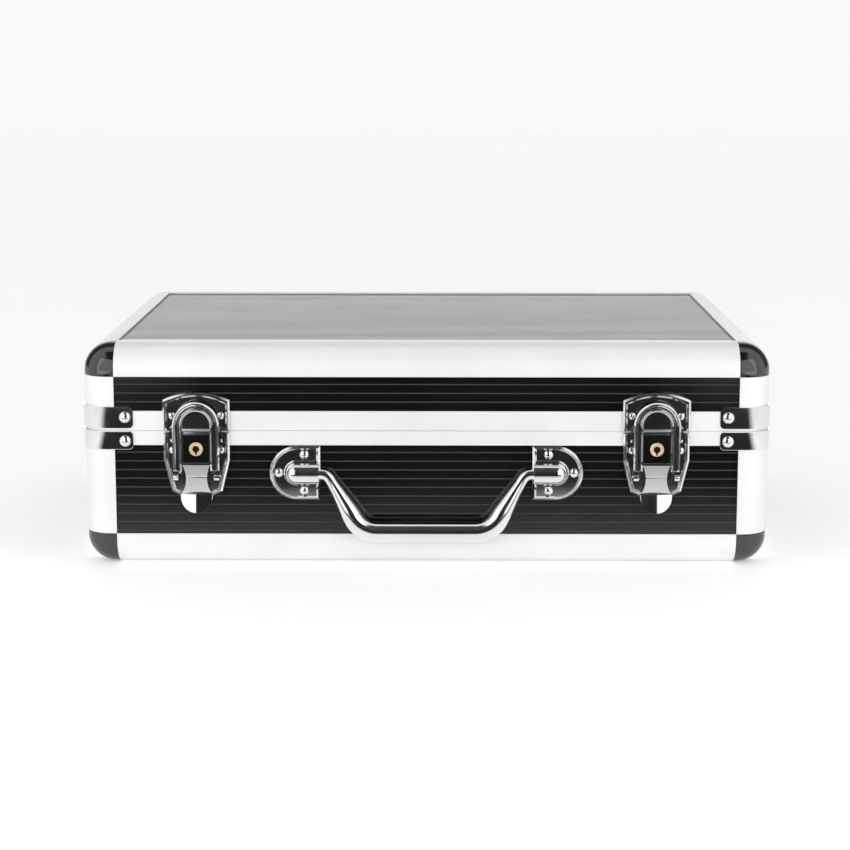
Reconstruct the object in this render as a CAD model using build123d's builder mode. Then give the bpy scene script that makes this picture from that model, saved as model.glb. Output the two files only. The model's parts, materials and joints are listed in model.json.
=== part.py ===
from build123d import *
import os
from math import cos, radians, sin

# A hard case for poker chips: ribbed panels held in quarter-round aluminium edge extrusions.
# The front looks along -Y and +Z is up. The origin is on the resting plane, under the middle of
# the outline that includes the fittings, so the case itself sits a little towards +Y.

# Case, in millimetres
case_width = 380.0
case_depth = 270.0
case_height = 124.0
parting_z = 76.0
front_y = -131.0
back_y = front_y + case_depth
middle_y = (front_y + back_y) / 2
side_x = case_width / 2

# Edge extrusion: a quarter round with two slots that hold the panels' edges
leg = 18.0
edge_radius = 15.5
skin = 1.2
panel_thickness = 3.4
slot_end = 13.0
slot_in = skin + panel_thickness
inner_face = slot_in + 1.4

# Ribbed panels
groove_pitch = 4.9
groove_width = 1.5
groove_depth = 0.68
groove_slope = 0.6
groove_wall = 0.15
first_groove = 3.8
plan_half_x = side_x - slot_end
plan_half_y = case_depth / 2 - slot_end

# Frames that meet at the parting line, with a tongue and a groove
base_frame_height = 8.0
lid_frame_height = 11.0
frame_depth = 6.6
panel_bite = 4.0
tongue_height = 2.0
tongue_outset = 2.6
tongue_inset = 4.2
tongue_gap = 0.5
parting_line = (0.8, 0.3)
mitre_gap = 0.1
mitre_reach = 70.0

# Fittings' sheet metal and rivets
plate = 1.0
rim_height = 2.6
rim_width = 2.4
rim_slope = (1.08, 0.95)
face_tolerance = 0.01
rivet_head_radius = 2.0
corner_head_radius = 3.1
handle_head_radius = 2.5
rivet_dome = 0.5
shank_radius = 1.5
shank_length = 5.2
drill_clearance = 0.05

# Corner brackets at the parting line
wing_reach_x = 28.5
bracket_low = (65.6, 75.8)
bracket_high = (77.6, 89.4)
bracket_rivet_inset = 24.0
bracket_rivet_z = (70.4, 83.7)
wing_corner = 2.5

# Latches; heights here are measured from the parting line
latch_x = 126.6
keeper_half = 18.5
keeper_foot = 0.4
keeper_shoulder = 17.4
keeper_top = 21.7
pad_half = 7.4
pad_foot = 2.3
arch_z = 4.0
pad_front = 4.6
base_outline = [(18.2, -0.4), (18.2, -16.0), (13.9, -33.7), (8.8, -36.2)]
latch_rivet_x = 13.6
keeper_rivet_z = 8.6
latch_rivet_z = (-10.5, -30.0)
lever_pivot = (3.2, 1.0)
loop_pivot = (5.6, -25.0)
pin_radius = 0.8
running_gap = 0.05
ear_x = 13.8
ear_thickness = 1.0
ear_outline = [(1.0, -6.0), (4.6, -4.0), (4.6, 2.5), (1.6, 2.5), (1.6, -0.7), (1.0, -0.7)]
lock_half = 6.9
lock_top = -1.7
lock_foot = -16.6
lock_front = 5.4
bezel = 0.7
bezel_front = 4.6
plug_z = -9.3
plug_radius = 3.9
plug_back = 2.0
plug_front = 5.7
keyway_radius = 1.9
keyway_depth = 3.0
keyway_slot = (1.1, 3.1)
plug_chamfer = 0.4
rail_half = (8.3, 11.3)
lever_back = 2.2
lever_plate = 1.0
window_foot = -18.2
lever_foot = -27.5
waist = [(7.6, -18.2), (5.8, -26.8), (8.5, -34.8)]
waist_back = 3.0
waist_front = 5.6
waist_foot_front = 4.0
lever_ear_x = 9.1
lever_ear = (5.0, 4.8)
tongue_back = 3.0
tongue_front = 6.4
tongue_crown = 26.0
tongue_tilt = 8.0
tongue_lap = 0.4
tongue_radius = 8.7
tongue_centre = -35.9
loop_half = (7.8, 12.8)
loop_back = 5.1
loop_front = 6.7
loop_foot = -21.5
loop_tab = 1.0
loop_ridge = (9.8, 10.6)
loop_ridge_depth = 1.05
loop_slope = (0.96, 0.85)
loop_knuckle = (9.9, 12.6)
loop_knuckle_radius = 1.7
lever_knuckle_radius = 1.6

# Handle and its two brackets
bracket_centre_x = 71.4
handle_z = 52.6
bracket_radius = 15.1
bracket_inboard = 58.6
bracket_rim = 1.4
bracket_rim_width = 2.2
bracket_slope = (1.13, 1.0)
step_width = 1.4
step_height = 0.9
step_slope = (0.74, 0.65)
housing_radius = 5.7
housing_centre = 2.2
housing_inboard = 59.2
barrel_shift = 0.4
handle_axis = 3.9
rod_radius = 3.0
rod_end = 70.4
end_gap = 0.4
bend_x = 54.6
grip_half = 35.6
grip_drop = 31.9
grip_lean = 8.4
grip_radius = 5.7
upper_bend = 6.0
lower_bend = 15.0
taper_length = 19.0
bracket_rivets = [(67.4, 62.7), (81.65, 52.6), (67.4, 42.5)]

# Rear hinges
hinge_x = 110.0
hinge_half = 25.0
hinge_reach = 14.0
hinge_leaf = 1.2
hinge_axis = 4.0
knuckle_radius = 2.4
knuckle_length = 9.7
knuckle_pitch = 10.0
hinge_pin_radius = 1.2
hinge_gap = 0.3
hinge_rivet_x = 17.0
hinge_rivet_z = (-7.0, 8.0)
hinge_corner = 1.5

# Inside: linings, chip tray and lid pad
lining_inset = 6.7
lining_wall = 2.0
base_lining_top = 75.0
lid_lining_foot = 78.5
pad_thickness = 12.0
pad_gap = 2.0
pad_corner = 6.0
pad_edge = 4.0
tray_gap = 0.5
tray_wall = 2.0
tray_top = 66.0
tray_margin = 4.0
channel_count = 8
channel_radius = 20.3
channel_pitch = 42.6
channel_length = 168.0
channel_axis_z = 54.5
well_foot = 36.0
card_well = 95.0

os.makedirs("parts", exist_ok=True)


def level(z):
    """A horizontal plane at height z, centred on the case's plan."""
    return Plane((0, middle_y, z))


def front(x, z, depth):
    """A plane that faces the front, depth outside the front face, with its origin at x, z."""
    return Plane(origin=(x, front_y - depth, z), x_dir=(1, 0, 0), z_dir=(0, -1, 0))


def rear(x, z, depth):
    """A plane that faces the back, depth outside the back face."""
    return Plane(origin=(x, back_y + depth, z), x_dir=(-1, 0, 0), z_dir=(0, 1, 0))


def flank(x, y, z):
    """A plane that faces along X at x, away from the case's middle."""
    return Plane(origin=(x, y, z), z_dir=(1 if x > 0 else -1, 0, 0))


def latch_side(x, depth, z):
    """A section plane across a latch: its x runs outwards from the front face, its y runs up."""
    return Plane(origin=(x, front_y - depth, z), x_dir=(0, -1, 0), z_dir=(-1, 0, 0))


def finish(piece, name):
    piece.part.label = name
    export_step(piece.part, f"parts/{name}.step")


def rivet(head_radius):
    """One domed rivet whose head sits on the plane z = 0."""
    head_height = rivet_dome * head_radius
    with BuildPart() as body:
        with BuildSketch(Plane.XZ):
            with BuildLine():
                Polyline(
                    (0, head_height),
                    (0, -shank_length),
                    (shank_radius, -shank_length),
                    (shank_radius, 0),
                    (head_radius, 0),
                )
                RadiusArc(
                    (head_radius, 0),
                    (0, head_height),
                    -(head_radius**2 + head_height**2) / (2 * head_height),
                )
            make_face()
        revolve(axis=Axis.Z)
    return body.part


def rivets(spots, head_radius, name):
    body = rivet(head_radius)
    with BuildPart() as group:
        with Locations(*spots):
            add(body)
    finish(group, name)


def drill(spots):
    """Cuts the rivets' holes in the part that is open."""
    with Locations(*spots):
        Cylinder(
            shank_radius + drill_clearance,
            2 * (shank_length + drill_clearance),
            mode=Mode.SUBTRACT,
        )


def slope_rim(piece, depth, size=rim_slope):
    """Slopes the edges of the open part's faces that lie at one depth outside the front face."""
    low, high = front_y - depth - face_tolerance, front_y - depth + face_tolerance
    rim = piece.faces().filter_by(Axis.Y).filter_by_position(Axis.Y, low, high)
    chamfer(rim.edges(), length=size[1], length2=size[0])


def four_corners():
    """Repeats the open part at the other three vertical corners."""
    mirror(about=Plane.YZ)
    mirror(about=Plane.XZ.offset(-middle_y))


# Where the rivets sit
corner_spots = {}
for half, z in zip(("base", "lid"), bracket_rivet_z):
    x_in = side_x - bracket_rivet_inset
    y_in = case_depth / 2 - bracket_rivet_inset
    spots = []
    for sign in (-1, 1):
        spots.append(front(sign * x_in, z, plate))
        spots.append(rear(sign * x_in, z, plate))
        for end in (-1, 1):
            spots.append(flank(sign * (side_x + plate), middle_y + end * y_in, z))
    corner_spots[half] = spots
keeper_spots = []
latch_spots = []
for x in (-latch_x, latch_x):
    for offset_x in (-latch_rivet_x, latch_rivet_x):
        keeper_spots.append(front(x + offset_x, parting_z + keeper_rivet_z, plate))
        latch_spots.append(front(x + offset_x, parting_z + latch_rivet_z[0], plate))
    latch_spots.append(front(x, parting_z + latch_rivet_z[1], plate))
handle_spots = []
for sign in (-1, 1):
    for x, z in bracket_rivets:
        handle_spots.append(front(sign * x, z, 0))
hinge_spots = {"base": [], "lid": []}
for x in (-hinge_x, hinge_x):
    for offset_x in (-hinge_rivet_x, hinge_rivet_x):
        hinge_spots["base"].append(rear(x + offset_x, parting_z + hinge_rivet_z[0], hinge_leaf))
        hinge_spots["lid"].append(rear(x + offset_x, parting_z + hinge_rivet_z[1], hinge_leaf))
base_spots = corner_spots["base"] + latch_spots + handle_spots + hinge_spots["base"]
lid_spots = corner_spots["lid"] + keeper_spots + hinge_spots["lid"]


# Edge extrusions
def edge_section(plane):
    """The extrusion's section, with its outer corner at the plane's origin."""
    with BuildSketch(plane) as section:
        with BuildLine():
            Polyline(
                (0, edge_radius),
                (0, leg),
                (skin, leg),
                (skin, slot_end),
                (slot_in, slot_end),
                (slot_in, leg),
                (inner_face, leg),
                (inner_face, inner_face),
                (leg, inner_face),
                (leg, slot_in),
                (slot_end, slot_in),
                (slot_end, skin),
                (leg, skin),
                (leg, 0),
                (edge_radius, 0),
            )
            CenterArc((edge_radius, edge_radius), edge_radius, 180, 90)
        make_face()
    return section.sketch


def edge_length(plane, length):
    with BuildPart() as strip:
        extrude(edge_section(plane), amount=length)
    return strip


run_x = case_width - 2 * leg
run_y = case_depth - 2 * leg
sides = {
    "front": (Vector(-run_x / 2, front_y), Vector(0, 1), Vector(1, 0), run_x),
    "back": (Vector(run_x / 2, back_y), Vector(0, -1), Vector(-1, 0), run_x),
    "right": (Vector(side_x, middle_y - run_y / 2), Vector(-1, 0), Vector(0, 1), run_y),
    "left": (Vector(-side_x, middle_y + run_y / 2), Vector(1, 0), Vector(0, -1), run_y),
}
for side, (start, inward, along, length) in sides.items():
    low = Plane(origin=start, x_dir=inward, z_dir=along)
    far_end = start + along * length + Vector(0, 0, case_height)
    high = Plane(origin=far_end, x_dir=inward, z_dir=along * -1)
    finish(edge_length(low, length), f"base_edge_{side}")
    finish(edge_length(high, length), f"lid_edge_{side}")

post_runs = {
    "base": (leg, parting_z - base_frame_height),
    "lid": (parting_z + lid_frame_height, case_height - leg),
}
for half, (foot, top) in post_runs.items():
    corner = Plane(origin=(-side_x, front_y, foot), x_dir=(1, 0, 0), z_dir=(0, 0, 1))
    with BuildPart() as posts:
        extrude(edge_section(corner), amount=top - foot)
        four_corners()
    finish(posts, f"{half}_corner_posts")


# Ball corners
with BuildPart(Plane((-side_x, front_y, 0))) as base_ball_corners:
    Box(leg, leg, leg, align=Align.MIN)
    outer_edges = base_ball_corners.edges().sort_by_distance((-side_x, front_y, 0))[:3]
    fillet(outer_edges, edge_radius)
    wide = leg - slot_end
    with BuildSketch(Plane((-side_x, front_y, inner_face))):
        with Locations((inner_face, inner_face)):
            RectangleRounded(2 * leg, 2 * leg, edge_radius - inner_face, align=Align.MIN)
    extrude(amount=leg, mode=Mode.SUBTRACT)
    with Locations((skin, slot_end, slot_end)):
        Box(panel_thickness, wide, wide, align=Align.MIN, mode=Mode.SUBTRACT)
    with Locations((slot_end, skin, slot_end)):
        Box(wide, panel_thickness, wide, align=Align.MIN, mode=Mode.SUBTRACT)
    with Locations((slot_end, slot_end, skin)):
        Box(wide, wide, panel_thickness, align=Align.MIN, mode=Mode.SUBTRACT)
    four_corners()
finish(base_ball_corners, "base_ball_corners")

with BuildPart() as lid_ball_corners:
    mirror(base_ball_corners.part, about=Plane.XY.offset(case_height / 2))
finish(lid_ball_corners, "lid_ball_corners")


# Panels
def ribbed_panel(face, width, height, rows, spots=()):
    """A panel whose outer face is centred on the plane, with grooves along the plane's x."""
    with BuildPart() as panel:
        with BuildSketch(face):
            Rectangle(width, height)
        extrude(amount=-panel_thickness)
        end = face.origin - face.x_dir * width / 2
        with BuildSketch(Plane(origin=end, x_dir=face.y_dir, z_dir=face.x_dir)):
            with Locations(*[(row, 0) for row in rows]):
                Polygon(
                    (-groove_width / 2, 0),
                    (groove_width / 2, 0),
                    (groove_width / 2 - groove_wall, -groove_depth),
                    (groove_slope - groove_width / 2, -groove_depth),
                    align=None,
                )
        extrude(amount=width, mode=Mode.SUBTRACT)
        if spots:
            drill(spots)
    return panel


def groove_rows(top, bottom, middle):
    """Groove places between two heights, counted down from the strip above them."""
    count = int((top - first_groove - bottom) // groove_pitch) + 1
    return [top - first_groove - groove_pitch * i - middle for i in range(count)]


base_frame_foot = parting_z - base_frame_height
lid_frame_top = parting_z + lid_frame_height
wall_runs = {
    "base": (slot_end, leg, base_frame_foot, panel_bite, base_spots),
    "lid": (lid_frame_top - panel_bite, lid_frame_top, case_height - leg, leg - slot_end, lid_spots),
}
for half, (foot, seen_foot, seen_top, hidden, spots) in wall_runs.items():
    top = seen_top + hidden
    middle = (foot + top) / 2
    rows = groove_rows(seen_top, seen_foot + groove_width, middle)
    right = Plane((side_x - skin, middle_y, middle), x_dir=(0, 1, 0), z_dir=(1, 0, 0))
    left = Plane((skin - side_x, middle_y, middle), x_dir=(0, -1, 0), z_dir=(-1, 0, 0))
    walls = {
        "front": (front(0, middle, -skin), plan_half_x),
        "back": (rear(0, middle, -skin), plan_half_x),
        "right": (right, plan_half_y),
        "left": (left, plan_half_y),
    }
    for name, (face, half_width) in walls.items():
        own = [spot for spot in spots if spot.z_dir.dot(face.z_dir) > 0.5]
        finish(ribbed_panel(face, 2 * half_width, top - foot, rows, own), f"{half}_{name}_panel")

broad_count = int((2 * plan_half_y - 2 * leg) // groove_pitch) + 1
broad_rows = [groove_pitch * (i - (broad_count - 1) / 2) for i in range(broad_count)]
top_face = level(case_height - skin)
bottom_face = Plane((0, middle_y, skin), x_dir=(1, 0, 0), z_dir=(0, 0, -1))
finish(ribbed_panel(top_face, 2 * plan_half_x, 2 * plan_half_y, broad_rows), "lid_top_panel")
finish(ribbed_panel(bottom_face, 2 * plan_half_x, 2 * plan_half_y, broad_rows), "base_bottom_panel")


# Frames at the parting line
def ring(plane, outset, inset, amount, mode=Mode.ADD):
    """A ring that follows the case's plan, from outset to inset inside its outer face."""
    with BuildSketch(plane) as plan:
        RectangleRounded(case_width - 2 * outset, case_depth - 2 * outset, edge_radius - outset)
        RectangleRounded(
            case_width - 2 * inset,
            case_depth - 2 * inset,
            edge_radius - inset,
            mode=Mode.SUBTRACT,
        )
    extrude(plan.sketch, amount=amount, mode=mode)


def panel_slots(plane, amount):
    centre = (skin + slot_in) / 2
    with BuildSketch(plane) as slots:
        with Locations((0, case_depth / 2 - centre), (0, centre - case_depth / 2)):
            Rectangle(2 * plan_half_x, panel_thickness)
        with Locations((side_x - centre, 0), (centre - side_x, 0)):
            Rectangle(panel_thickness, 2 * plan_half_y)
    extrude(slots.sketch, amount=amount, mode=Mode.SUBTRACT)


def mitres(plane, amount):
    """Hairline cuts that part the ring into its four lengths."""
    with BuildSketch(plane) as cuts:
        for sx, sy in ((-1, -1), (-1, 1), (1, -1), (1, 1)):
            with Locations((sx * side_x, sy * case_depth / 2)):
                Rectangle(mitre_reach, mitre_gap, rotation=45 * sx * sy)
    extrude(cuts.sketch, amount=amount, mode=Mode.SUBTRACT)


with BuildPart() as base_frame:
    base_foot = level(parting_z - base_frame_height)
    ring(base_foot, 0, frame_depth, base_frame_height)
    panel_slots(base_foot, panel_bite)
    ring(level(parting_z), tongue_outset, tongue_inset, tongue_height)
    mitres(base_foot, base_frame_height + tongue_height)
    drill(base_spots)
finish(base_frame, "base_frame")

with BuildPart() as lid_frame:
    ring(level(parting_z), 0, frame_depth, lid_frame_height)
    panel_slots(level(parting_z + lid_frame_height - panel_bite), panel_bite)
    ring(
        level(parting_z),
        tongue_outset - tongue_gap,
        tongue_inset + tongue_gap,
        tongue_height + tongue_gap,
        Mode.SUBTRACT,
    )
    ring(level(parting_z), -plate, parting_line[0], parting_line[1], Mode.SUBTRACT)
    mitres(level(parting_z), lid_frame_height)
    drill(lid_spots)
finish(lid_frame, "lid_frame")


# Corner brackets, wrapped round the four corners at the parting line
for half, (foot, top) in (("base", bracket_low), ("lid", bracket_high)):
    middle = (foot + top) / 2
    with BuildPart() as brackets:
        ring(level(foot), -plate, 0, top - foot)
        with BuildSketch(front(0, middle, case_depth)):
            with Locations((-side_x, 0), (side_x, 0)):
                RectangleRounded(2 * wing_reach_x, top - foot, wing_corner)
        extrude(amount=-3 * case_depth, mode=Mode.INTERSECT)
        with BuildSketch(Plane.YZ.offset(-case_width)):
            with Locations((front_y, middle), (back_y, middle)):
                RectangleRounded(2 * wing_reach_x, top - foot, wing_corner)
        extrude(amount=2 * case_width, mode=Mode.INTERSECT)
        drill(corner_spots[half])
    finish(brackets, f"{half}_corner_brackets")
    rivets(corner_spots[half], corner_head_radius, f"{half}_corner_rivets")


# Latches
def arch(plane, half_width, foot):
    """A closed outline with a flat foot and a round top whose centre is at arch_z."""
    with BuildSketch(plane) as outline:
        with BuildLine():
            Polyline(
                (-half_width, arch_z), (-half_width, foot), (half_width, foot), (half_width, arch_z)
            )
            ThreePointArc((half_width, arch_z), (0, arch_z + half_width), (-half_width, arch_z))
        make_face()
    return outline.sketch


def keeper_outline(plane, inset, foot):
    half_width = keeper_half - inset
    with BuildSketch(plane) as outline:
        with BuildLine():
            Polyline(
                (-half_width, keeper_shoulder - inset),
                (-half_width, foot),
                (half_width, foot),
                (half_width, keeper_shoulder - inset),
            )
            ThreePointArc(
                (half_width, keeper_shoulder - inset),
                (0, keeper_top - inset),
                (-half_width, keeper_shoulder - inset),
            )
        make_face()
    return outline.sketch


def keeper(x):
    def at(depth):
        return front(x, parting_z, depth)

    with BuildPart() as piece:
        extrude(keeper_outline(at(0), 0, keeper_foot), amount=rim_height)
        extrude(keeper_outline(at(plate), rim_width, 0), amount=rim_height, mode=Mode.SUBTRACT)
        slope_rim(piece, rim_height)
        extrude(keeper_outline(at(0), 0, lid_frame_height), amount=-skin)
        extrude(arch(at(plate), pad_half, pad_foot), amount=pad_front - plate)
        drill(keeper_spots)
    return piece


def latch_plate(x):
    points = base_outline + [(-px, pz) for px, pz in reversed(base_outline)]
    spread = base_outline[0][0]
    with BuildPart() as piece:
        with BuildSketch(front(x, parting_z, 0)):
            Polygon(*points, align=None)
        extrude(amount=rim_height)
        with BuildSketch(front(x, parting_z, plate)):
            Polygon(*points, align=None)
            offset(amount=-rim_width, kind=Kind.INTERSECTION)
            with Locations((0, -rim_width)):
                Rectangle(2 * (spread - rim_width), 2 * rim_width)
        extrude(amount=rim_height, mode=Mode.SUBTRACT)
        slope_rim(piece, rim_height)
        with BuildSketch(front(x, parting_z, 0)):
            Polygon(*points, align=None)
            with Locations((0, -base_frame_height)):
                Rectangle(4 * spread, 4 * spread, align=(Align.CENTER, Align.MAX), mode=Mode.INTERSECT)
        extrude(amount=-skin)
        with BuildSketch(front(x, parting_z, plate)):
            with Locations((0, (lock_top + lock_foot) / 2)):
                Rectangle(2 * (lock_half + bezel), lock_top - lock_foot + 2 * bezel)
                Rectangle(2 * lock_half, lock_top - lock_foot, mode=Mode.SUBTRACT)
        extrude(amount=bezel_front - plate)
        for sign in (-1, 1):
            with BuildSketch(latch_side(x + sign * ear_x, 0, parting_z)):
                Polygon(*ear_outline, align=None)
            extrude(amount=ear_thickness / 2, both=True)
        bore(x, lever_pivot, pin_radius)
        drill(latch_spots)
    return piece


def lock_box(x):
    with BuildPart() as piece:
        with BuildSketch(front(x, parting_z, plate)):
            with Locations((0, (lock_top + lock_foot) / 2)):
                Rectangle(2 * lock_half, lock_top - lock_foot)
        extrude(amount=lock_front - plate)
        with BuildSketch(front(x, parting_z + plug_z, plug_back)):
            Circle(plug_radius)
        extrude(amount=lock_front, mode=Mode.SUBTRACT)
    return piece


def key_plug(x):
    with BuildPart() as piece:
        with BuildSketch(front(x, parting_z + plug_z, plug_back + running_gap)):
            Circle(plug_radius - running_gap)
        extrude(amount=plug_front - plug_back - running_gap)
        chamfer(piece.faces().sort_by(Axis.Y)[0].edges(), plug_chamfer)
        with BuildSketch(front(x, parting_z + plug_z, plug_front - keyway_depth)):
            Circle(keyway_radius)
            Rectangle(*keyway_slot, align=(Align.CENTER, Align.MAX))
        extrude(amount=keyway_depth, mode=Mode.SUBTRACT)
    return piece


def cross_pin(x, pivot, radius, centre, length):
    """A cylinder along X on a latch pivot, centred at centre from the latch's middle."""
    with Locations(latch_side(x + centre, pivot[0], parting_z + pivot[1])):
        Cylinder(radius, length)


def knuckles(x, pivot, radius, span):
    """A pair of round knuckles on a pivot, one each side of the latch's middle."""
    for sign in (-1, 1):
        cross_pin(x, pivot, radius, sign * sum(span) / 2, span[1] - span[0])


def bore(x, pivot, radius):
    with Locations(latch_side(x, pivot[0], parting_z + pivot[1])):
        Cylinder(radius, 4 * ear_x, mode=Mode.SUBTRACT)


def lever_waist(x):
    """The pinched middle of the lever, which leans in towards its foot."""
    with BuildPart() as piece:
        with BuildSketch(front(x, parting_z, waist_back)):
            with BuildLine():
                right = ThreePointArc(*waist)
                left = ThreePointArc(*[(-px, pz) for px, pz in waist])
                Line(right @ 0, left @ 0)
                Line(right @ 1, left @ 1)
            make_face()
        extrude(amount=waist_front - waist_back)
        with BuildSketch(latch_side(x, 0, parting_z)):
            Polygon(
                (waist_back, waist[0][1]),
                (waist_front, waist[0][1]),
                (waist_foot_front, waist[2][1]),
                (waist_back, waist[2][1]),
                align=None,
            )
        extrude(amount=tongue_radius, both=True, mode=Mode.INTERSECT)
    return piece.part


def lever_tongue(x):
    """The finger tongue: a disc's lower part, crowned across its width and flared at its tip."""
    tilt = radians(tongue_tilt)
    with BuildPart() as piece:
        with BuildSketch(front(x, parting_z, tongue_back)):
            with Locations((0, tongue_centre)):
                Circle(tongue_radius)
            with Locations((0, waist[2][1] + tongue_lap)):
                Rectangle(
                    3 * tongue_radius,
                    3 * tongue_radius,
                    align=(Align.CENTER, Align.MAX),
                    mode=Mode.INTERSECT,
                )
        extrude(amount=2 * (tongue_front - tongue_back))
        axis = (x, front_y - tongue_front + tongue_crown, parting_z + tongue_centre)
        with Locations(Plane(origin=axis, x_dir=(1, 0, 0), z_dir=(0, sin(tilt), cos(tilt)))):
            Cylinder(tongue_crown, 4 * tongue_radius, mode=Mode.INTERSECT)
    return piece.part


def latch_lever(x):
    with BuildPart() as piece:
        with BuildSketch(front(x, parting_z, lever_back)):
            with Locations((0, lever_pivot[1])):
                Rectangle(
                    2 * rail_half[1], lever_pivot[1] - lever_foot, align=(Align.CENTER, Align.MAX)
                )
                Rectangle(
                    2 * rail_half[0],
                    lever_pivot[1] - window_foot,
                    align=(Align.CENTER, Align.MAX),
                    mode=Mode.SUBTRACT,
                )
        extrude(amount=lever_plate)
        add(lever_waist(x))
        add(lever_tongue(x))
        for sign in (-1, 1):
            with BuildSketch(latch_side(x + sign * lever_ear_x, 0, parting_z)):
                with Locations((lever_back, loop_pivot[1])):
                    Rectangle(*lever_ear, align=(Align.MIN, Align.CENTER))
            extrude(amount=ear_thickness / 2, both=True)
        knuckles(x, lever_pivot, lever_knuckle_radius, rail_half)
        bore(x, lever_pivot, pin_radius + running_gap)
        bore(x, loop_pivot, pin_radius)
    return piece


def latch_loop(x):
    base = front(x, parting_z, loop_back)
    bed = front(x, parting_z, loop_front - loop_ridge_depth)
    thick = loop_front - loop_back
    with BuildPart() as piece:
        extrude(arch(base, loop_half[1], loop_foot), amount=thick)
        extrude(arch(base, loop_half[0], 2 * loop_foot), amount=thick, mode=Mode.SUBTRACT)
        groove = arch(bed, loop_ridge[1], 2 * loop_foot) - arch(bed, loop_ridge[0], 2 * loop_foot)
        extrude(groove, amount=thick, mode=Mode.SUBTRACT)
        slope_rim(piece, loop_front, loop_slope)
        with BuildSketch(base):
            for sign in (-1, 1):
                with Locations((sign * sum(loop_knuckle) / 2, loop_foot)):
                    Rectangle(
                        loop_knuckle[1] - loop_knuckle[0],
                        loop_foot - loop_pivot[1],
                        align=(Align.CENTER, Align.MAX),
                    )
        extrude(amount=loop_tab)
        knuckles(x, loop_pivot, loop_knuckle_radius, loop_knuckle)
        bore(x, loop_pivot, pin_radius + running_gap)
    return piece


def loop_pins(x):
    with BuildPart() as piece:
        knuckles(x, loop_pivot, pin_radius, (lever_ear_x - ear_thickness / 2, loop_knuckle[1]))
    return piece


for side, x in (("left", -latch_x), ("right", latch_x)):
    finish(keeper(x), f"keeper_{side}")
    finish(latch_plate(x), f"latch_plate_{side}")
    finish(lock_box(x), f"lock_box_{side}")
    finish(key_plug(x), f"key_plug_{side}")
    finish(latch_lever(x), f"latch_lever_{side}")
    finish(latch_loop(x), f"latch_loop_{side}")
    finish(loop_pins(x), f"loop_pins_{side}")
with BuildPart() as lever_pins:
    for x in (-latch_x, latch_x):
        cross_pin(x, lever_pivot, pin_radius, 0, 2 * ear_x + plate)
finish(lever_pins, "lever_pins")
rivets(keeper_spots, rivet_head_radius, "keeper_rivets")
rivets(latch_spots, rivet_head_radius, "latch_rivets")


# Handle brackets: a D-shaped plate with a rim and a half-barrel housing
def bracket_outline(plane, sign, inset):
    inner = bracket_inboard + inset
    with BuildSketch(plane) as outline:
        with Locations((sign * bracket_centre_x, 0)):
            Circle(bracket_radius - inset)
        with Locations((sign * (inner + bracket_centre_x) / 2, 0)):
            Rectangle(bracket_centre_x - inner, 2 * (bracket_radius - inset))
        with Locations((sign * (inner + bracket_radius), 0)):
            Rectangle(2 * bracket_radius, 2 * bracket_radius, mode=Mode.INTERSECT)
    return outline.sketch


for side, sign in (("left", -1), ("right", 1)):
    barrel_end = bracket_centre_x + barrel_shift
    with BuildPart() as handle_bracket:
        extrude(bracket_outline(front(0, handle_z, -skin), sign, 0), amount=skin + bracket_rim)
        extrude(
            bracket_outline(front(0, handle_z, 0), sign, bracket_rim_width),
            amount=bracket_rim,
            mode=Mode.SUBTRACT,
        )
        slope_rim(handle_bracket, bracket_rim, bracket_slope)
        with BuildPart(mode=Mode.PRIVATE) as step:
            with BuildSketch(front(0, handle_z, 0)):
                with Locations((sign * barrel_end, 0)):
                    Circle(housing_radius + step_width)
                with Locations((sign * (barrel_end + housing_inboard) / 2, 0)):
                    Rectangle(barrel_end - housing_inboard, 2 * (housing_radius + step_width))
            extrude(amount=step_height)
            step_front = step.faces().sort_by(Axis.Y)[0]
            chamfer(step_front.edges(), length=step_slope[1], length2=step_slope[0])
        add(step.part)
        inboard_end = (sign * housing_inboard, front_y, handle_z)
        with BuildSketch(Plane(origin=inboard_end, x_dir=(0, -1, 0), z_dir=(sign, 0, 0))):
            with Locations((housing_centre, 0)):
                Circle(housing_radius)
            Rectangle(housing_centre, 2 * housing_radius, align=(Align.MIN, Align.CENTER))
            Rectangle(
                3 * housing_radius,
                3 * housing_radius,
                align=(Align.MIN, Align.CENTER),
                mode=Mode.INTERSECT,
            )
        extrude(amount=barrel_end - housing_inboard)
        with BuildPart(mode=Mode.PRIVATE) as dome:
            with Locations((sign * barrel_end, front_y - housing_centre, handle_z)):
                Sphere(housing_radius)
            with Locations((sign * barrel_end, front_y, handle_z)):
                Box(
                    4 * housing_radius,
                    2 * housing_radius,
                    3 * housing_radius,
                    align=(Align.CENTER, Align.MAX, Align.CENTER),
                    mode=Mode.INTERSECT,
                )
        add(dome.part)
        mouth = (sign * bracket_inboard, front_y - handle_axis, handle_z)
        with BuildSketch(Plane(origin=mouth, z_dir=(sign, 0, 0))):
            Circle(rod_radius + running_gap)
        extrude(amount=rod_end + end_gap - bracket_inboard, mode=Mode.SUBTRACT)
        drill(handle_spots)
    finish(handle_bracket, f"handle_bracket_{side}")
rivets(handle_spots, handle_head_radius, "handle_rivets")


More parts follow.
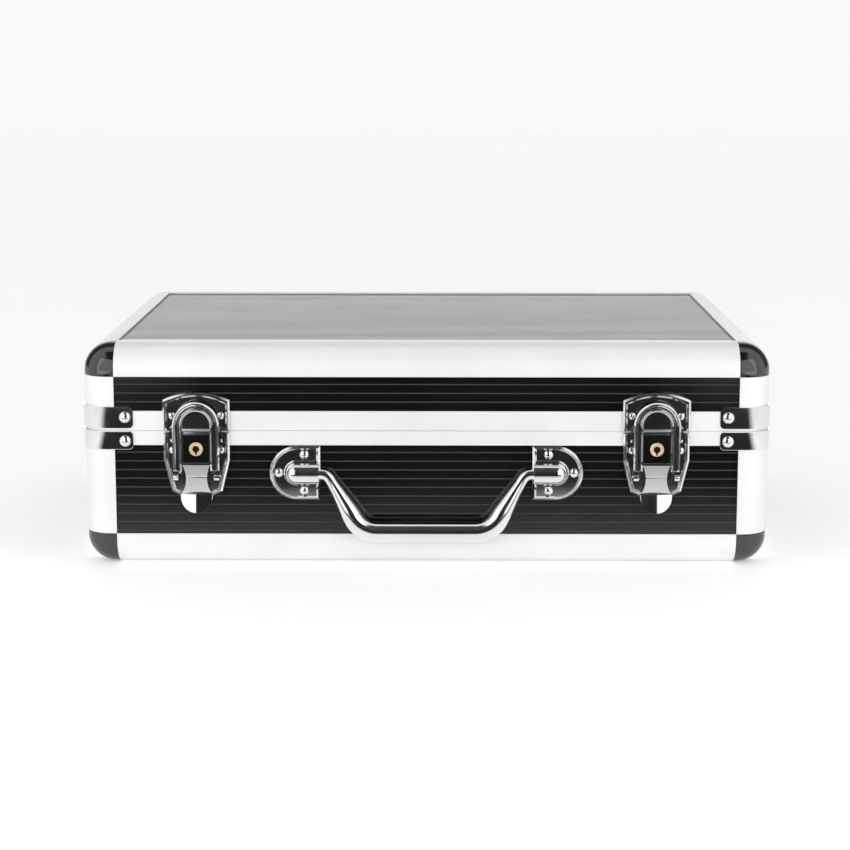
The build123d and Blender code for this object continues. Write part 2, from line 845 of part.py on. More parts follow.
# Handle: a bail whose thin ends turn in the housings, thickening to a round grip
lean = radians(grip_lean)
bail_plane = Plane(
    origin=(0, front_y - handle_axis, handle_z), x_dir=(1, 0, 0), z_dir=(0, -cos(lean), sin(lean))
)
shoulder = Vector(bend_x, 0)
heel = Vector(grip_half, -grip_drop)
leg_direction = (heel - shoulder).normalized()
taper_start = shoulder + leg_direction * upper_bend
taper_end = taper_start + leg_direction * taper_length
with BuildPart() as handle:
    for sign in (-1, 1):
        with BuildLine(bail_plane) as thin:
            FilletPolyline(
                (sign * rod_end, 0),
                (sign * shoulder.X, 0),
                (sign * taper_start.X, taper_start.Y),
                radius=upper_bend,
            )
        with BuildSketch(Plane(origin=thin.line @ 0, z_dir=thin.line % 0)):
            Circle(rod_radius)
        sweep(path=thin.line)
        with BuildLine(bail_plane) as taper:
            Line((sign * taper_start.X, taper_start.Y), (sign * taper_end.X, taper_end.Y))
        with BuildSketch(Plane(origin=taper.line @ 0, z_dir=taper.line % 0)):
            Circle(rod_radius)
        with BuildSketch(Plane(origin=taper.line @ 1, z_dir=taper.line % 1)):
            Circle(grip_radius)
        loft()
    with BuildLine(bail_plane) as thick:
        FilletPolyline(
            (-taper_end.X, taper_end.Y),
            (-heel.X, heel.Y),
            (heel.X, heel.Y),
            (taper_end.X, taper_end.Y),
            radius=lower_bend,
        )
    with BuildSketch(Plane(origin=thick.line @ 0, z_dir=thick.line % 0)):
        Circle(grip_radius)
    sweep(path=thick.line)
finish(handle, "handle")


# Rear hinges
def hinge_leaf_part(half, sign, segments):
    """Both hinges' leaves for one half of the case; sign is the way they reach from the axis."""
    beyond = base_frame_height if half == "base" else lid_frame_height
    reach = hinge_reach - hinge_gap
    with BuildPart() as leaves:
        for x in (-hinge_x, hinge_x):
            with BuildSketch(rear(x, parting_z + sign * (hinge_gap + reach / 2), 0)):
                RectangleRounded(2 * hinge_half, reach, hinge_corner)
            extrude(amount=hinge_leaf)
            with BuildSketch(rear(x, parting_z + sign * (beyond + hinge_reach) / 2, 0)):
                Rectangle(2 * (hinge_half - hinge_corner), hinge_reach - beyond)
            extrude(amount=-skin)
            web = knuckle_radius - hinge_gap
            for step in segments:
                at = x + step * knuckle_pitch
                with BuildSketch(rear(at, parting_z + sign * (hinge_gap + web / 2), 0)):
                    Rectangle(knuckle_length, web)
                extrude(amount=hinge_axis)
                with Locations(Plane(origin=(at, back_y + hinge_axis, parting_z), z_dir=(1, 0, 0))):
                    Cylinder(knuckle_radius, knuckle_length)
            hole = hinge_pin_radius if half == "base" else hinge_pin_radius + running_gap
            with Locations(Plane(origin=(x, back_y + hinge_axis, parting_z), z_dir=(1, 0, 0))):
                Cylinder(hole, 3 * hinge_half, mode=Mode.SUBTRACT)
        drill(hinge_spots[half])
    return leaves


finish(hinge_leaf_part("base", -1, (-2, 0, 2)), "hinge_base_leaves")
finish(hinge_leaf_part("lid", 1, (-1, 1)), "hinge_lid_leaves")
with BuildPart() as hinge_pins:
    for x in (-hinge_x, hinge_x):
        with Locations(Plane(origin=(x, back_y + hinge_axis, parting_z), z_dir=(1, 0, 0))):
            Cylinder(hinge_pin_radius, 2 * hinge_half)
finish(hinge_pins, "hinge_pins")
rivets(hinge_spots["base"], rivet_head_radius, "hinge_base_rivets")
rivets(hinge_spots["lid"], rivet_head_radius, "hinge_lid_rivets")


# Linings
lined_x = case_width - 2 * lining_inset
lined_y = case_depth - 2 * lining_inset
lining_corner = edge_radius - lining_inset


def lining(low, high, floor):
    """A five-sided shell between two heights; floor is the plane of its closed side."""
    with BuildPart() as shell:
        with BuildSketch(level(low)):
            RectangleRounded(lined_x, lined_y, lining_corner)
        extrude(amount=high - low)
        with BuildSketch(level(low + lining_wall if floor == low else low)):
            RectangleRounded(
                lined_x - 2 * lining_wall, lined_y - 2 * lining_wall, lining_corner - lining_wall
            )
        extrude(amount=high - low - lining_wall, mode=Mode.SUBTRACT)
    return shell


lid_ceiling = case_height - inner_face
finish(lining(inner_face, base_lining_top, inner_face), "base_lining")
finish(lining(lid_lining_foot, lid_ceiling, lid_ceiling), "lid_lining")

with BuildPart() as lid_pad:
    with BuildSketch(level(lid_ceiling - lining_wall)):
        clear = 2 * (lining_wall + pad_gap)
        RectangleRounded(lined_x - clear, lined_y - clear, pad_corner)
    extrude(amount=-pad_thickness)
    fillet(lid_pad.faces().sort_by(Axis.Z)[0].edges(), pad_edge)
finish(lid_pad, "lid_pad")


# Chip tray: a moulded shell with half-round channels and three wells
tray_x = lined_x - 2 * lining_wall - 2 * tray_gap
tray_y = lined_y - 2 * lining_wall - 2 * tray_gap
tray_corner = lining_corner - lining_wall - tray_gap
tray_foot = inner_face + lining_wall
channel_back = tray_y / 2 - tray_margin
channel_front = channel_back - channel_length
well_length = channel_front - tray_margin + tray_y / 2 - 2 * tray_margin
well_middle = channel_front - tray_margin - well_length / 2
dice_well = tray_x - 2 * card_well - 4 * tray_margin
card_offset = (dice_well + card_well) / 2 + tray_margin


def channels(radius, extra, mode):
    """All the channels as solids of one radius, lengthened by extra at each end."""
    end = Plane(
        origin=(0, middle_y + channel_front - extra, channel_axis_z), x_dir=(-1, 0, 0), z_dir=(0, 1, 0)
    )
    with BuildSketch(end) as section:
        with GridLocations(channel_pitch, 0, channel_count, 1):
            Circle(radius)
            Rectangle(2 * radius, tray_top - channel_axis_z, align=(Align.CENTER, Align.MIN))
            with Locations((0, tray_top - channel_axis_z)):
                Rectangle(
                    2 * radius, 2 * radius, align=(Align.CENTER, Align.MIN), mode=Mode.SUBTRACT
                )
    extrude(section.sketch, amount=channel_length + 2 * extra, mode=mode)


def wells(foot, extra, mode):
    with BuildSketch(level(foot)) as plan:
        with Locations((0, well_middle)):
            Rectangle(dice_well + 2 * extra, well_length + 2 * extra)
        with Locations((-card_offset, well_middle), (card_offset, well_middle)):
            Rectangle(card_well + 2 * extra, well_length + 2 * extra)
    extrude(plan.sketch, amount=tray_top - foot, mode=mode)


with BuildPart() as chip_tray:
    with BuildSketch(level(tray_foot)):
        RectangleRounded(tray_x, tray_y, tray_corner)
        RectangleRounded(
            tray_x - 2 * tray_wall, tray_y - 2 * tray_wall, tray_corner - tray_wall, mode=Mode.SUBTRACT
        )
    extrude(amount=tray_top - tray_foot)
    with BuildSketch(level(tray_top - tray_wall)):
        RectangleRounded(tray_x, tray_y, tray_corner)
    extrude(amount=tray_wall)
    channels(channel_radius + tray_wall, tray_wall, Mode.ADD)
    wells(well_foot - tray_wall, tray_wall, Mode.ADD)
    channels(channel_radius, 0, Mode.SUBTRACT)
    wells(well_foot, 0, Mode.SUBTRACT)
finish(chip_tray, "chip_tray")
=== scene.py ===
import json
import math

import bmesh
import bpy
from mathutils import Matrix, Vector, noise


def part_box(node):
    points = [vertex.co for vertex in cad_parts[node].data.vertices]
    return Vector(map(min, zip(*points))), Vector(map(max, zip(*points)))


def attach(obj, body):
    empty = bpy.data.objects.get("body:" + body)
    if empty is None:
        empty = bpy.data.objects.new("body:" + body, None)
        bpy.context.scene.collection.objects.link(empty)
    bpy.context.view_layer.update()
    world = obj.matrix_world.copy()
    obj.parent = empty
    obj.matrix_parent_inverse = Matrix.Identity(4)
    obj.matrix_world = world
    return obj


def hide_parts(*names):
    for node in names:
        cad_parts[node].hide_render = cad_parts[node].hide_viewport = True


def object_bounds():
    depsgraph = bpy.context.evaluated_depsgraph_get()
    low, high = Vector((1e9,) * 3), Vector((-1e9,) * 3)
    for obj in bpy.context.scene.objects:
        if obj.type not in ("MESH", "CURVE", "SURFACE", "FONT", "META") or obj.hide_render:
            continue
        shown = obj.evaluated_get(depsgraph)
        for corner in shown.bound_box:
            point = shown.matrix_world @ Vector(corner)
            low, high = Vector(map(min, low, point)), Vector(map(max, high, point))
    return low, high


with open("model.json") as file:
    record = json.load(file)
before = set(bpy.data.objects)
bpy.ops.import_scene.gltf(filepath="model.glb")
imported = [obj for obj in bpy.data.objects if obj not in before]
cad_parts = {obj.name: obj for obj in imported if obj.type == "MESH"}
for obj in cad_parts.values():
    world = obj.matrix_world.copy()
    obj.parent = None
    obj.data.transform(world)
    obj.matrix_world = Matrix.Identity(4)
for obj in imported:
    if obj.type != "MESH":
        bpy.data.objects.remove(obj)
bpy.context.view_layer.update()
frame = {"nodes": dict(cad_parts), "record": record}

MM = 0.001
NODES = frame["nodes"]
SLOTS = {part["node"]: part["material_slot"] for part in frame["record"]["subparts"]}
FRONT_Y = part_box("base_frame")[0].y
PLUG_FACE_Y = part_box("key_plug_left")[0].y

# how far the CAD nodes' sharp edges are rounded, how close two points are to be one,
# and the turn from which an edge counts as sharp
METAL_EDGE = 0.25 * MM
PANEL_EDGE = 0.4 * MM
TRAY_EDGE = 0.8 * MM
WELD_GAP = 0.002 * MM
SHARP_ANGLE = math.radians(28)

# the felt linings: wall, corner in plan, outer bevel, inner cove, unevenness and its fineness per metre
LINING_WALL = 2.0 * MM
LINING_CORNER = 8.8 * MM
LINING_BEVEL = 1.2 * MM
LINING_COVE = 4.0 * MM
LINING_WANDER = 0.15 * MM
LINING_RIPPLES = 60.0

# the foam pad under the lid: corner in plan, rounded edge, crown, unevenness and its fineness per metre
CUSHION_CORNER = 10.0 * MM
CUSHION_EDGE = 6.0 * MM
CUSHION_CROWN = 4.2 * MM
CUSHION_WANDER = 0.5 * MM
CUSHION_RIPPLES = 22.0

# most of a noise texture's values lie between these two
NOISE_LOW, NOISE_HIGH = 0.3, 0.7


def grey(value, tint=0.0):
    """A grey, leaning to blue by the tint."""
    return (value, value, value * (1 + tint))


# ---------------------------------------------------------------- node trees
class Graph:
    """Short helpers round one node tree."""

    def __init__(self, tree):
        self.tree = tree
        self.tree.nodes.clear()

    def add(self, kind, **values):
        node = self.tree.nodes.new(kind)
        for key, value in values.items():
            setattr(node, key, value)
        return node

    def link(self, start, end):
        self.tree.links.new(start, end)

    def axis(self, source, letter):
        """One component of a vector."""
        node = self.add("ShaderNodeSeparateXYZ")
        self.link(source, node.inputs[0])
        return node.outputs[letter]

    def remap(self, source, low, high, start=NOISE_LOW, end=NOISE_HIGH):
        """Carries the range from start to end over to the one from low to high, and clamps it."""
        node = self.add("ShaderNodeMapRange")
        node.inputs["From Min"].default_value = start
        node.inputs["From Max"].default_value = end
        node.inputs["To Min"].default_value = low
        node.inputs["To Max"].default_value = high
        self.link(source, node.inputs["Value"])
        return node.outputs["Result"]

    def maths(self, operation, *sources):
        node = self.add("ShaderNodeMath", operation=operation)
        for source, socket in zip(sources, node.inputs):
            self.link(source, socket)
        return node.outputs[0]

    def colours(self, source, *stops):
        """A colour ramp through (place, colour) stops."""
        node = self.add("ShaderNodeValToRGB")
        ramp = node.color_ramp
        while len(ramp.elements) < len(stops):
            ramp.elements.new(0.5)
        for element, (place, colour) in zip(ramp.elements, stops):
            element.position = place
            element.color = (*colour, 1)
        self.link(source, node.inputs["Fac"])
        return node.outputs["Color"]

    def mix(self, factor, first, second):
        """Blends from the first colour to the second, which is a node's output or a plain colour."""
        node = self.add("ShaderNodeMix", data_type="RGBA")
        self.link(factor, node.inputs["Factor"])
        self.link(first, node.inputs["A"])
        if isinstance(second, tuple):
            node.inputs["B"].default_value = (*second, 1)
        else:
            self.link(second, node.inputs["B"])
        return node.outputs["Result"]


class Surface(Graph):
    """A material's node tree, with its shader and its output in place."""

    def __init__(self, name):
        self.material = bpy.data.materials.new(name)
        self.material.use_nodes = True
        super().__init__(self.material.node_tree)
        self.shader = self.add("ShaderNodeBsdfPrincipled")
        self.out = self.add("ShaderNodeOutputMaterial")
        self.link(self.shader.outputs[0], self.out.inputs["Surface"])
        where = self.add("ShaderNodeTexCoord")
        self.place = where.outputs["Object"]
        self.facing = where.outputs["Normal"]

    def set(self, **values):
        for key, value in values.items():
            self.shader.inputs[key.replace("_", " ")].default_value = value

    def noise(self, scale, detail=3.0, stretch=(1, 1, 1), rough=0.5):
        spread = self.add("ShaderNodeMapping")
        spread.inputs["Scale"].default_value = stretch
        self.link(self.place, spread.inputs["Vector"])
        node = self.add("ShaderNodeTexNoise")
        node.inputs["Scale"].default_value = scale
        node.inputs["Detail"].default_value = detail
        node.inputs["Roughness"].default_value = rough
        self.link(spread.outputs[0], node.inputs["Vector"])
        return node.outputs["Fac"]

    def cloudy(self, source, dark, light):
        """A colour that drifts from dark to light with a noise."""
        return self.colours(source, (NOISE_LOW, dark), (NOISE_HIGH, light))

    def bump(self, source, distance, strength=1.0, below=None):
        node = self.add("ShaderNodeBump")
        node.inputs["Distance"].default_value = distance
        node.inputs["Strength"].default_value = strength
        self.link(source, node.inputs["Height"])
        if below is not None:
            self.link(below, node.inputs["Normal"])
        return node.outputs["Normal"]

    def finish(self, colour=None, rough=None, normal=None):
        for source, name in ((colour, "Base Color"), (rough, "Roughness"), (normal, "Normal")):
            if source is not None:
                self.link(source, self.shader.inputs[name])
        return self.material


# ---------------------------------------------------------------- materials
def anodised(name, along):
    """Satin aluminium with the fine drawing lines of an extrusion along one axis."""
    g = Surface(name)
    stretch = [1, 1, 1]
    stretch["XYZ".index(along)] = 0.01
    lines = g.noise(2600, 2, tuple(stretch))
    cloud = g.noise(34, 4)
    colour = g.colours(cloud, (0.35, grey(0.82, 0.012)), (0.65, grey(0.86, 0.015)))
    rough = g.remap(lines, 0.42, 0.54)
    g.set(Metallic=0.25, IOR=1.5)
    return g.finish(colour, rough, g.bump(lines, 0.02 * MM, 0.5))


def plated(name):
    """Bright chrome plate with faint orange peel and handling haze."""
    g = Surface(name)
    peel = g.noise(420, 2)
    haze = g.noise(60, 5)
    colour = g.cloudy(haze, grey(0.80, 0.01), grey(0.86, 0.015))
    rough = g.remap(haze, 0.045, 0.11)
    g.set(Metallic=1.0)
    return g.finish(colour, rough, g.bump(peel, 0.01 * MM, 0.12))


def ribbed_black(name):
    """Black laminate with a fine pebble grain, and a painted highlight on the grooves' upward-sloping
    sides.
    """
    g = Surface(name)
    grain = g.noise(2200, 2)
    cloud = g.noise(18, 4)
    laminate = g.cloudy(cloud, grey(0.003, 0.15), grey(0.006, 0.2))
    # painted highlight: the colour is lightened where the surface tilts upwards, which is on the
    # grooves' lower slopes, standing in for the overhead light they would catch
    upwards = g.axis(g.facing, "Z")
    off_upright = g.remap(upwards, 0.0, 1.0, 0.45, 0.6)
    off_level = g.remap(upwards, 1.0, 0.0, 0.8, 0.92)
    slope_highlight = g.maths("MULTIPLY", off_upright, off_level)
    colour = g.mix(slope_highlight, laminate, (0.060, 0.060, 0.064))
    rough = g.remap(cloud, 0.11, 0.17)
    g.set(IOR=1.55, Specular_Tint=(0.97, 0.95, 1.0, 1.0))
    return g.finish(colour, rough, g.bump(grain, 0.01 * MM, 0.15))


def gloss_black(name):
    """Hard black plastic with a high gloss and a slight swirl in it."""
    g = Surface(name)
    cloud = g.noise(70, 4)
    swirl = g.noise(500, 2)
    colour = g.cloudy(cloud, grey(0.003), grey(0.006))
    rough = g.remap(cloud, 0.06, 0.12)
    g.set(IOR=1.8)
    return g.finish(colour, rough, g.bump(swirl, 0.03 * MM, 0.25))


def polished_brass(name, face_y):
    """Brass, bright at its face, with painted shade darkening it down the keyway; face_y is where the
    plug's face lies.
    """
    g = Surface(name)
    # painted shade: the brass darkens to near black between these depths behind the plug's face,
    # standing in for the shade inside the keyway
    unshaded_depth, fully_shaded_depth = 0.6 * MM, 1.1 * MM
    cloud = g.noise(300, 4)
    bright = g.cloudy(cloud, (0.86, 0.66, 0.36), (0.97, 0.82, 0.55))
    keyway_shade = g.remap(g.axis(g.place, "Y"), 0.0, 1.0, face_y + unshaded_depth, face_y + fully_shaded_depth)
    colour = g.mix(keyway_shade, bright, (0.05, 0.022, 0.01))
    rough = g.remap(cloud, 0.34, 0.46)
    g.set(Metallic=0.6)
    return g.finish(colour, rough, g.bump(cloud, 0.02 * MM, 0.3))


def felt(name):
    """Short black felt: a soft fibre mat with sheen and brushed patches."""
    g = Surface(name)
    fibre = g.noise(1900, 6, rough=0.7)
    long_fibre = g.noise(700, 5, (3, 0.7, 3), 0.6)
    patches = g.noise(26, 4)
    colour = g.cloudy(patches, grey(0.010, 0.1), grey(0.020, 0.12))
    rough = g.remap(patches, 0.86, 0.97)
    g.set(Sheen_Weight=0.35, Sheen_Roughness=0.45, Specular_IOR_Level=0.25)
    under = g.bump(long_fibre, 0.4 * MM, 0.5)
    return g.finish(colour, rough, g.bump(fibre, 0.4 * MM, 0.8, under))


def foam(name):
    """Open-cell foam: dark pits over a dull, slightly uneven black."""
    g = Surface(name)
    cells = g.add("ShaderNodeTexVoronoi")
    cells.inputs["Scale"].default_value = 900
    g.link(g.place, cells.inputs["Vector"])
    patches = g.noise(20, 4)
    colour = g.cloudy(patches, grey(0.014, 0.08), grey(0.024, 0.1))
    rough = g.remap(patches, 0.84, 0.95)
    g.set(Sheen_Weight=0.25, Sheen_Roughness=0.5, Specular_IOR_Level=0.25)
    return g.finish(colour, rough, g.bump(cells.outputs["Distance"], 0.6 * MM, 0.8))


def moulded(name):
    """Flocked vacuum-formed tray."""
    g = Surface(name)
    flock = g.noise(2600, 5, rough=0.7)
    cloud = g.noise(30, 4)
    colour = g.cloudy(cloud, grey(0.012, 0.1), grey(0.02, 0.1))
    rough = g.remap(cloud, 0.7, 0.85)
    g.set(Sheen_Weight=0.2, Sheen_Roughness=0.5, Specular_IOR_Level=0.3)
    return g.finish(colour, rough, g.bump(flock, 0.2 * MM, 0.6))


ALUMINIUM = {axis: anodised(f"anodised_{axis}", axis) for axis in "XYZ"}
FELT = felt("black_felt")
FOAM = foam("black_foam")
SLOT_MATERIALS = {
    "bright": plated("chrome_plate"),
    "panel": ribbed_black("ribbed_panel"),
    "corner": gloss_black("corner_plastic"),
    "lock_black": gloss_black("lock_plastic"),
    "lock_brass": polished_brass("lock_brass", PLUG_FACE_Y),
    "lining": FELT,
    "tray": moulded("flocked_tray"),
}


# ---------------------------------------------------------------- the CAD nodes' finish
def extrusion_axis(name):
    """The axis that an extrusion's drawing lines follow."""
    if name.endswith("_posts"):
        return "Z"
    if name.endswith(("_left", "_right")):
        return "Y"
    return "X"


def paint(name, obj):
    slot = SLOTS[name]
    material = ALUMINIUM[extrusion_axis(name)] if slot == "extrusion" else SLOT_MATERIALS[slot]
    obj.data.materials.clear()
    obj.data.materials.append(material)


def edges_softened(obj, width, segments=2):
    """Rounds the sharp edges, so that they catch the light as real ones do."""
    weld = obj.modifiers.new("weld", "WELD")
    weld.merge_threshold = WELD_GAP
    bevel = obj.modifiers.new("edge", "BEVEL")
    bevel.width = width
    bevel.segments = segments
    bevel.limit_method = "ANGLE"
    bevel.angle_limit = SHARP_ANGLE
    bevel.use_clamp_overlap = True
    even = obj.modifiers.new("even", "WEIGHTED_NORMAL")
    even.mode = "FACE_AREA_WITH_ANGLE"
    even.keep_sharp = True


for node_name, node in NODES.items():
    paint(node_name, node)
    if node_name == "chip_tray":
        edges_softened(node, TRAY_EDGE, 3)
    elif node_name.endswith("_panel"):
        edges_softened(node, PANEL_EDGE, 3)
    elif not node_name.endswith(("_rivets", "_pins", "_pins_left", "_pins_right")):
        edges_softened(node, METAL_EDGE)


# ---------------------------------------------------------------- soft pieces
def ring_points(low, high, inset, corner, per_corner=10, per_side=(46, 32)):
    """Points round a rectangle with round corners, inset from the box's sides."""
    least, spare = 0.5 * MM, 0.1 * MM
    x0, x1 = low.x + inset, high.x - inset
    y0, y1 = low.y + inset, high.y - inset
    radius = max(least, min(corner, (x1 - x0) / 2 - spare, (y1 - y0) / 2 - spare))
    left, right = x0 + radius, x1 - radius
    front, back = y0 + radius, y1 - radius
    centres = [(right, front), (right, back), (left, back), (left, front)]
    points = []
    for index, (cx, cy) in enumerate(centres):
        start = math.pi / 2 * (index - 1)
        for step in range(per_corner + 1):
            angle = start + math.pi / 2 * step / per_corner
            points.append((cx + radius * math.cos(angle), cy + radius * math.sin(angle)))
        after = (index + 1) % 4
        leave_x, leave_y = points[-1]
        reach_x = centres[after][0] + radius * math.cos(angle)
        reach_y = centres[after][1] + radius * math.sin(angle)
        count = per_side[after % 2]
        for step in range(1, count):
            share = step / count
            x = leave_x + (reach_x - leave_x) * share
            y = leave_y + (reach_y - leave_y) * share
            points.append((x, y))
    return points


def lofted(name, low, high, profile, corner, wander, ripples):
    """A closed form through round-cornered rings; profile lists (inset, height) from outside in.

    A smooth noise moves the rings up and down by up to the wander; ripples is its fineness per metre.
    """
    least_corner = 0.6 * MM
    mesh = bpy.data.meshes.new(name)
    bm = bmesh.new()
    rings = []
    for inset, height in profile:
        ring = []
        for x, y in ring_points(low, high, inset, max(corner - inset, least_corner)):
            push = wander * noise.noise(Vector((x, y, height)) * ripples)
            ring.append(bm.verts.new((x, y, height + push)))
        rings.append(ring)
    for first, second in zip(rings, rings[1:]):
        for i in range(len(first)):
            j = (i + 1) % len(first)
            bm.faces.new((first[i], first[j], second[j], second[i]))
    bm.faces.new(rings[0][::-1])
    bm.faces.new(rings[-1])
    bmesh.ops.recalc_face_normals(bm, faces=bm.faces)
    for face in bm.faces:
        face.smooth = True
    bm.to_mesh(mesh)
    bm.free()
    obj = bpy.data.objects.new(name, mesh)
    bpy.context.scene.collection.objects.link(obj)
    return obj


def lining_profile(outer_z, rim_z):
    """Outside bottom, up the wall, over a rolled rim and down inside to a coved floor."""
    way = 1 if rim_z > outer_z else -1
    floor_z = outer_z + way * LINING_WALL
    roll = LINING_WALL / 2
    profile = [(12 * MM, outer_z), (LINING_BEVEL, outer_z), (0.0, outer_z + way * LINING_BEVEL)]
    for share in (0.25, 0.5, 0.75):
        profile.append((0.0, outer_z + (rim_z - outer_z) * share))
    for step in range(7):
        angle = math.pi * step / 6
        inset = roll * (1 - math.cos(angle))
        profile.append((inset, rim_z - way * roll * (1 - math.sin(angle))))
    for share in (0.75, 0.5, 0.25):
        profile.append((LINING_WALL, floor_z + (rim_z - floor_z) * share))
    for step in range(6):
        angle = math.pi / 2 * step / 5
        inset = LINING_WALL + LINING_COVE * (1 - math.cos(angle))
        profile.append((inset, floor_z + way * LINING_COVE * (1 - math.sin(angle))))
    for inset_mm in (20, 40, 70, 100, 120):
        profile.append((inset_mm * MM, floor_z))
    return profile


def soft_lining(node_name, body, low_is_floor):
    """A felt lining in its node's place, with a rolled rim and a coved floor."""
    low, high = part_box(node_name)
    outer_z, rim_z = (low.z, high.z) if low_is_floor else (high.z, low.z)
    profile = lining_profile(outer_z, rim_z)
    obj = lofted(f"{node_name}_felt", low, high, profile, LINING_CORNER, LINING_WANDER, LINING_RIPPLES)
    obj.data.materials.append(FELT)
    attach(obj, body)
    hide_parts(node_name)


def lid_cushion():
    """The foam pad under the lid: a crowned form, flat where it is glued, with pulled-in sides."""
    low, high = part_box("lid_pad")
    thick = high.z - low.z
    full_crown_inset = 90 * MM
    edge_flatness = 0.6
    profile = [(20 * MM, high.z), (1.5 * MM, high.z), (0.6 * MM, high.z - 0.8 * MM)]
    profile += [(0.0, high.z - thick * 0.3), (0.6 * MM, high.z - thick * 0.45)]
    for step in range(7):
        angle = math.pi / 2 * step / 6
        inset = 0.8 * MM + CUSHION_EDGE * (1 - math.cos(angle))
        rounding = CUSHION_EDGE * (1 - math.sin(angle)) * edge_flatness
        profile.append((inset, low.z + CUSHION_CROWN + rounding))
    for inset_mm in (12, 20, 30, 42, 56, 72, 90, 108, 123.5):
        inset = inset_mm * MM
        rise = math.sin(min(1.0, inset / full_crown_inset) * math.pi / 2)
        profile.append((inset, low.z + CUSHION_CROWN * (1 - rise) + 0.2 * MM))
    obj = lofted("lid_cushion", low, high, profile, CUSHION_CORNER, CUSHION_WANDER, CUSHION_RIPPLES)
    obj.data.materials.append(FOAM)
    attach(obj, "lid")
    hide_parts("lid_pad")


soft_lining("base_lining", "base", True)
soft_lining("lid_lining", "lid", False)
lid_cushion()


# ---------------------------------------------------------------- stage, light and camera
def floor_material():
    """A pale sweep. Reflections see it end a little way in front of the case, where the room is dark."""
    g = Surface("pale_floor")
    cloud = g.noise(3, 4)
    colour = g.cloudy(cloud, (0.90, 0.895, 0.90), (0.93, 0.925, 0.93))
    g.set(Roughness=0.6, Emission_Color=(1.0, 0.995, 1.0, 1.0))
    seen = g.add("ShaderNodeLightPath")
    glow_seen, glow_cast = 0.28, 0.20
    glow = g.remap(seen.outputs["Is Diffuse Ray"], glow_seen, glow_cast, 0.0, 1.0)
    g.link(glow, g.shader.inputs["Emission Strength"])

    # the floor fades between these distances in front of the case, and only between these sides
    near, far = 0.06, 0.22
    inner_side, outer_side = 0.38, 0.52
    ahead = g.remap(g.axis(g.place, "Y"), 1.0, 0.0, FRONT_Y - far, FRONT_Y - near)
    sideways = g.maths("ABSOLUTE", g.axis(g.place, "X"))
    between = g.remap(sideways, 1.0, 0.0, inner_side, outer_side)
    ended = g.maths("MULTIPLY", ahead, between)
    unlit = g.add("ShaderNodeEmission")
    unlit.inputs["Color"].default_value = (0.02, 0.02, 0.022, 1)
    mix = g.add("ShaderNodeMixShader")
    g.link(g.maths("MULTIPLY", ended, seen.outputs["Is Glossy Ray"]), mix.inputs[0])
    g.link(g.shader.outputs[0], mix.inputs[1])
    g.link(unlit.outputs[0], mix.inputs[2])
    g.link(mix.outputs[0], g.out.inputs["Surface"])
    return g.finish(colour)


def stage_floor():
    """A wide level square under the case."""
    mesh = bpy.data.meshes.new("floor")
    reach = 6.0
    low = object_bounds()[0].z
    corners = [(-reach, -reach, low), (reach, -reach, low), (reach, reach, low), (-reach, reach, low)]
    mesh.from_pydata(corners, [], [(0, 1, 2, 3)])
    floor = bpy.data.objects.new("floor", mesh)
    bpy.context.scene.collection.objects.link(floor)
    floor.data.materials.append(floor_material())


def softbox(name, place, aim, size, power, mirrored=False):
    """An area lamp; only a mirrored one shows up in reflections."""
    light = bpy.data.lights.new(name, "AREA")
    light.shape = "RECTANGLE"
    light.size, light.size_y = size
    light.energy = power
    lamp = bpy.data.objects.new(name, light)
    lamp.location = place
    direction = Vector(aim) - Vector(place)
    lamp.rotation_euler = direction.to_track_quat("-Z", "Y").to_euler()
    lamp.visible_glossy = mirrored
    lamp.visible_camera = False
    bpy.context.scene.collection.objects.link(lamp)


def lamps():
    """Soft light from overhead and from the front, and a bright box at each side for the chrome."""
    softbox("overhead", place=(0.0, 0.1, 1.6), aim=(0, 0, 0), size=(1.6, 1.2), power=0.6)
    for name, side in (("left", -1), ("right", 1)):
        place, aim = (side * 0.389, -0.495, 0.29), (side * 0.039, 0.165, 0.29)
        softbox(name, place, aim, size=(0.45, 0.5), power=0.9, mirrored=True)
    softbox("front", place=(0.0, -1.9, 0.5), aim=(0, 0, 0.06), size=(1.4, 0.9), power=3.1)


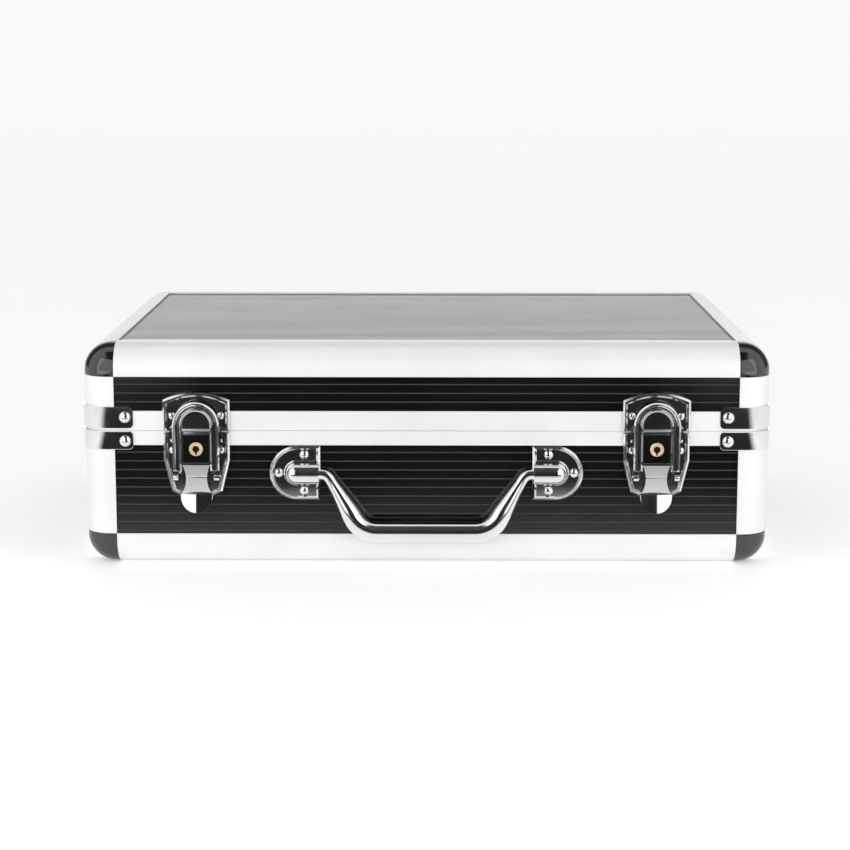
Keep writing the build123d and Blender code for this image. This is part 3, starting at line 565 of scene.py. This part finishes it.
def studio_world():
    """A white room with a dark opening towards the front, where the photographer stands."""
    world = bpy.data.worlds.new("studio")
    world.use_nodes = True
    g = Graph(world.node_tree)
    towards = g.add("ShaderNodeTexCoord").outputs["Generated"]
    # 0 is straight to the front and straight down, 1 is straight behind and straight up
    depth = g.remap(g.axis(towards, "Y"), 0.0, 1.0, -1, 1)
    height = g.remap(g.axis(towards, "Z"), 0.0, 1.0, -1, 1)
    sideways = g.maths("ABSOLUTE", g.axis(towards, "X"))
    black, dark, dim, white = grey(0.0), grey(0.02), grey(0.12), grey(1.0)

    # reflections: dark in front, white at the sides, dim behind the sides, brightest straight behind
    around = g.colours(
        depth,
        (0.0, dark), (0.15, dark),
        (0.20, white), (0.60, white),
        (0.68, dim), (0.85, dim),
        (0.93, (1.62, 1.56, 1.63)),
    )
    # a dark canopy over the photographer, open at the sides and from straight overhead backwards
    canopy = g.colours(height, (0.0, dark), (0.55, dark), (1.0, grey(0.07)))
    open_sides = g.colours(sideways, (0.0, black), (0.25, black), (0.45, white))
    open_back = g.colours(depth, (0.0, black), (0.425, black), (0.44, white))
    reflected = g.mix(g.maths("MAXIMUM", open_sides, open_back), canopy, around)

    fill = g.colours(height, (0.0, white), (0.5, grey(1.08)), (1.0, grey(0.42)))
    seen = g.add("ShaderNodeLightPath")
    lit = g.mix(seen.outputs["Is Glossy Ray"], fill, reflected)
    room = g.mix(seen.outputs["Is Camera Ray"], lit, (0.95, 0.945, 0.95))
    shade = g.add("ShaderNodeBackground")
    g.link(room, shade.inputs["Color"])
    g.link(shade.outputs[0], g.add("ShaderNodeOutputWorld").inputs["Surface"])
    bpy.context.scene.world = world


def camera():
    """Stands in front of the case, a little above it, and looks down at it through a long lens."""
    lens_mm, sensor_mm = 91.8, 36.0
    distance, aside, eye_height = 1.175, 0.0085, 0.286
    down, turn = math.radians(9.97), math.radians(-0.45)
    forward = Vector((
        math.sin(turn) * math.cos(down), math.cos(turn) * math.cos(down), -math.sin(down)
    ))
    data = bpy.data.cameras.new("camera")
    data.lens = lens_mm
    data.sensor_width = sensor_mm
    obj = bpy.data.objects.new("camera", data)
    obj.location = (aside, FRONT_Y - distance, eye_height)
    obj.rotation_euler = forward.to_track_quat("-Z", "Y").to_euler()
    bpy.context.scene.collection.objects.link(obj)
    bpy.context.scene.camera = obj


stage_floor()
studio_world()
lamps()
camera()
bpy.context.scene.view_settings.view_transform = "Standard"
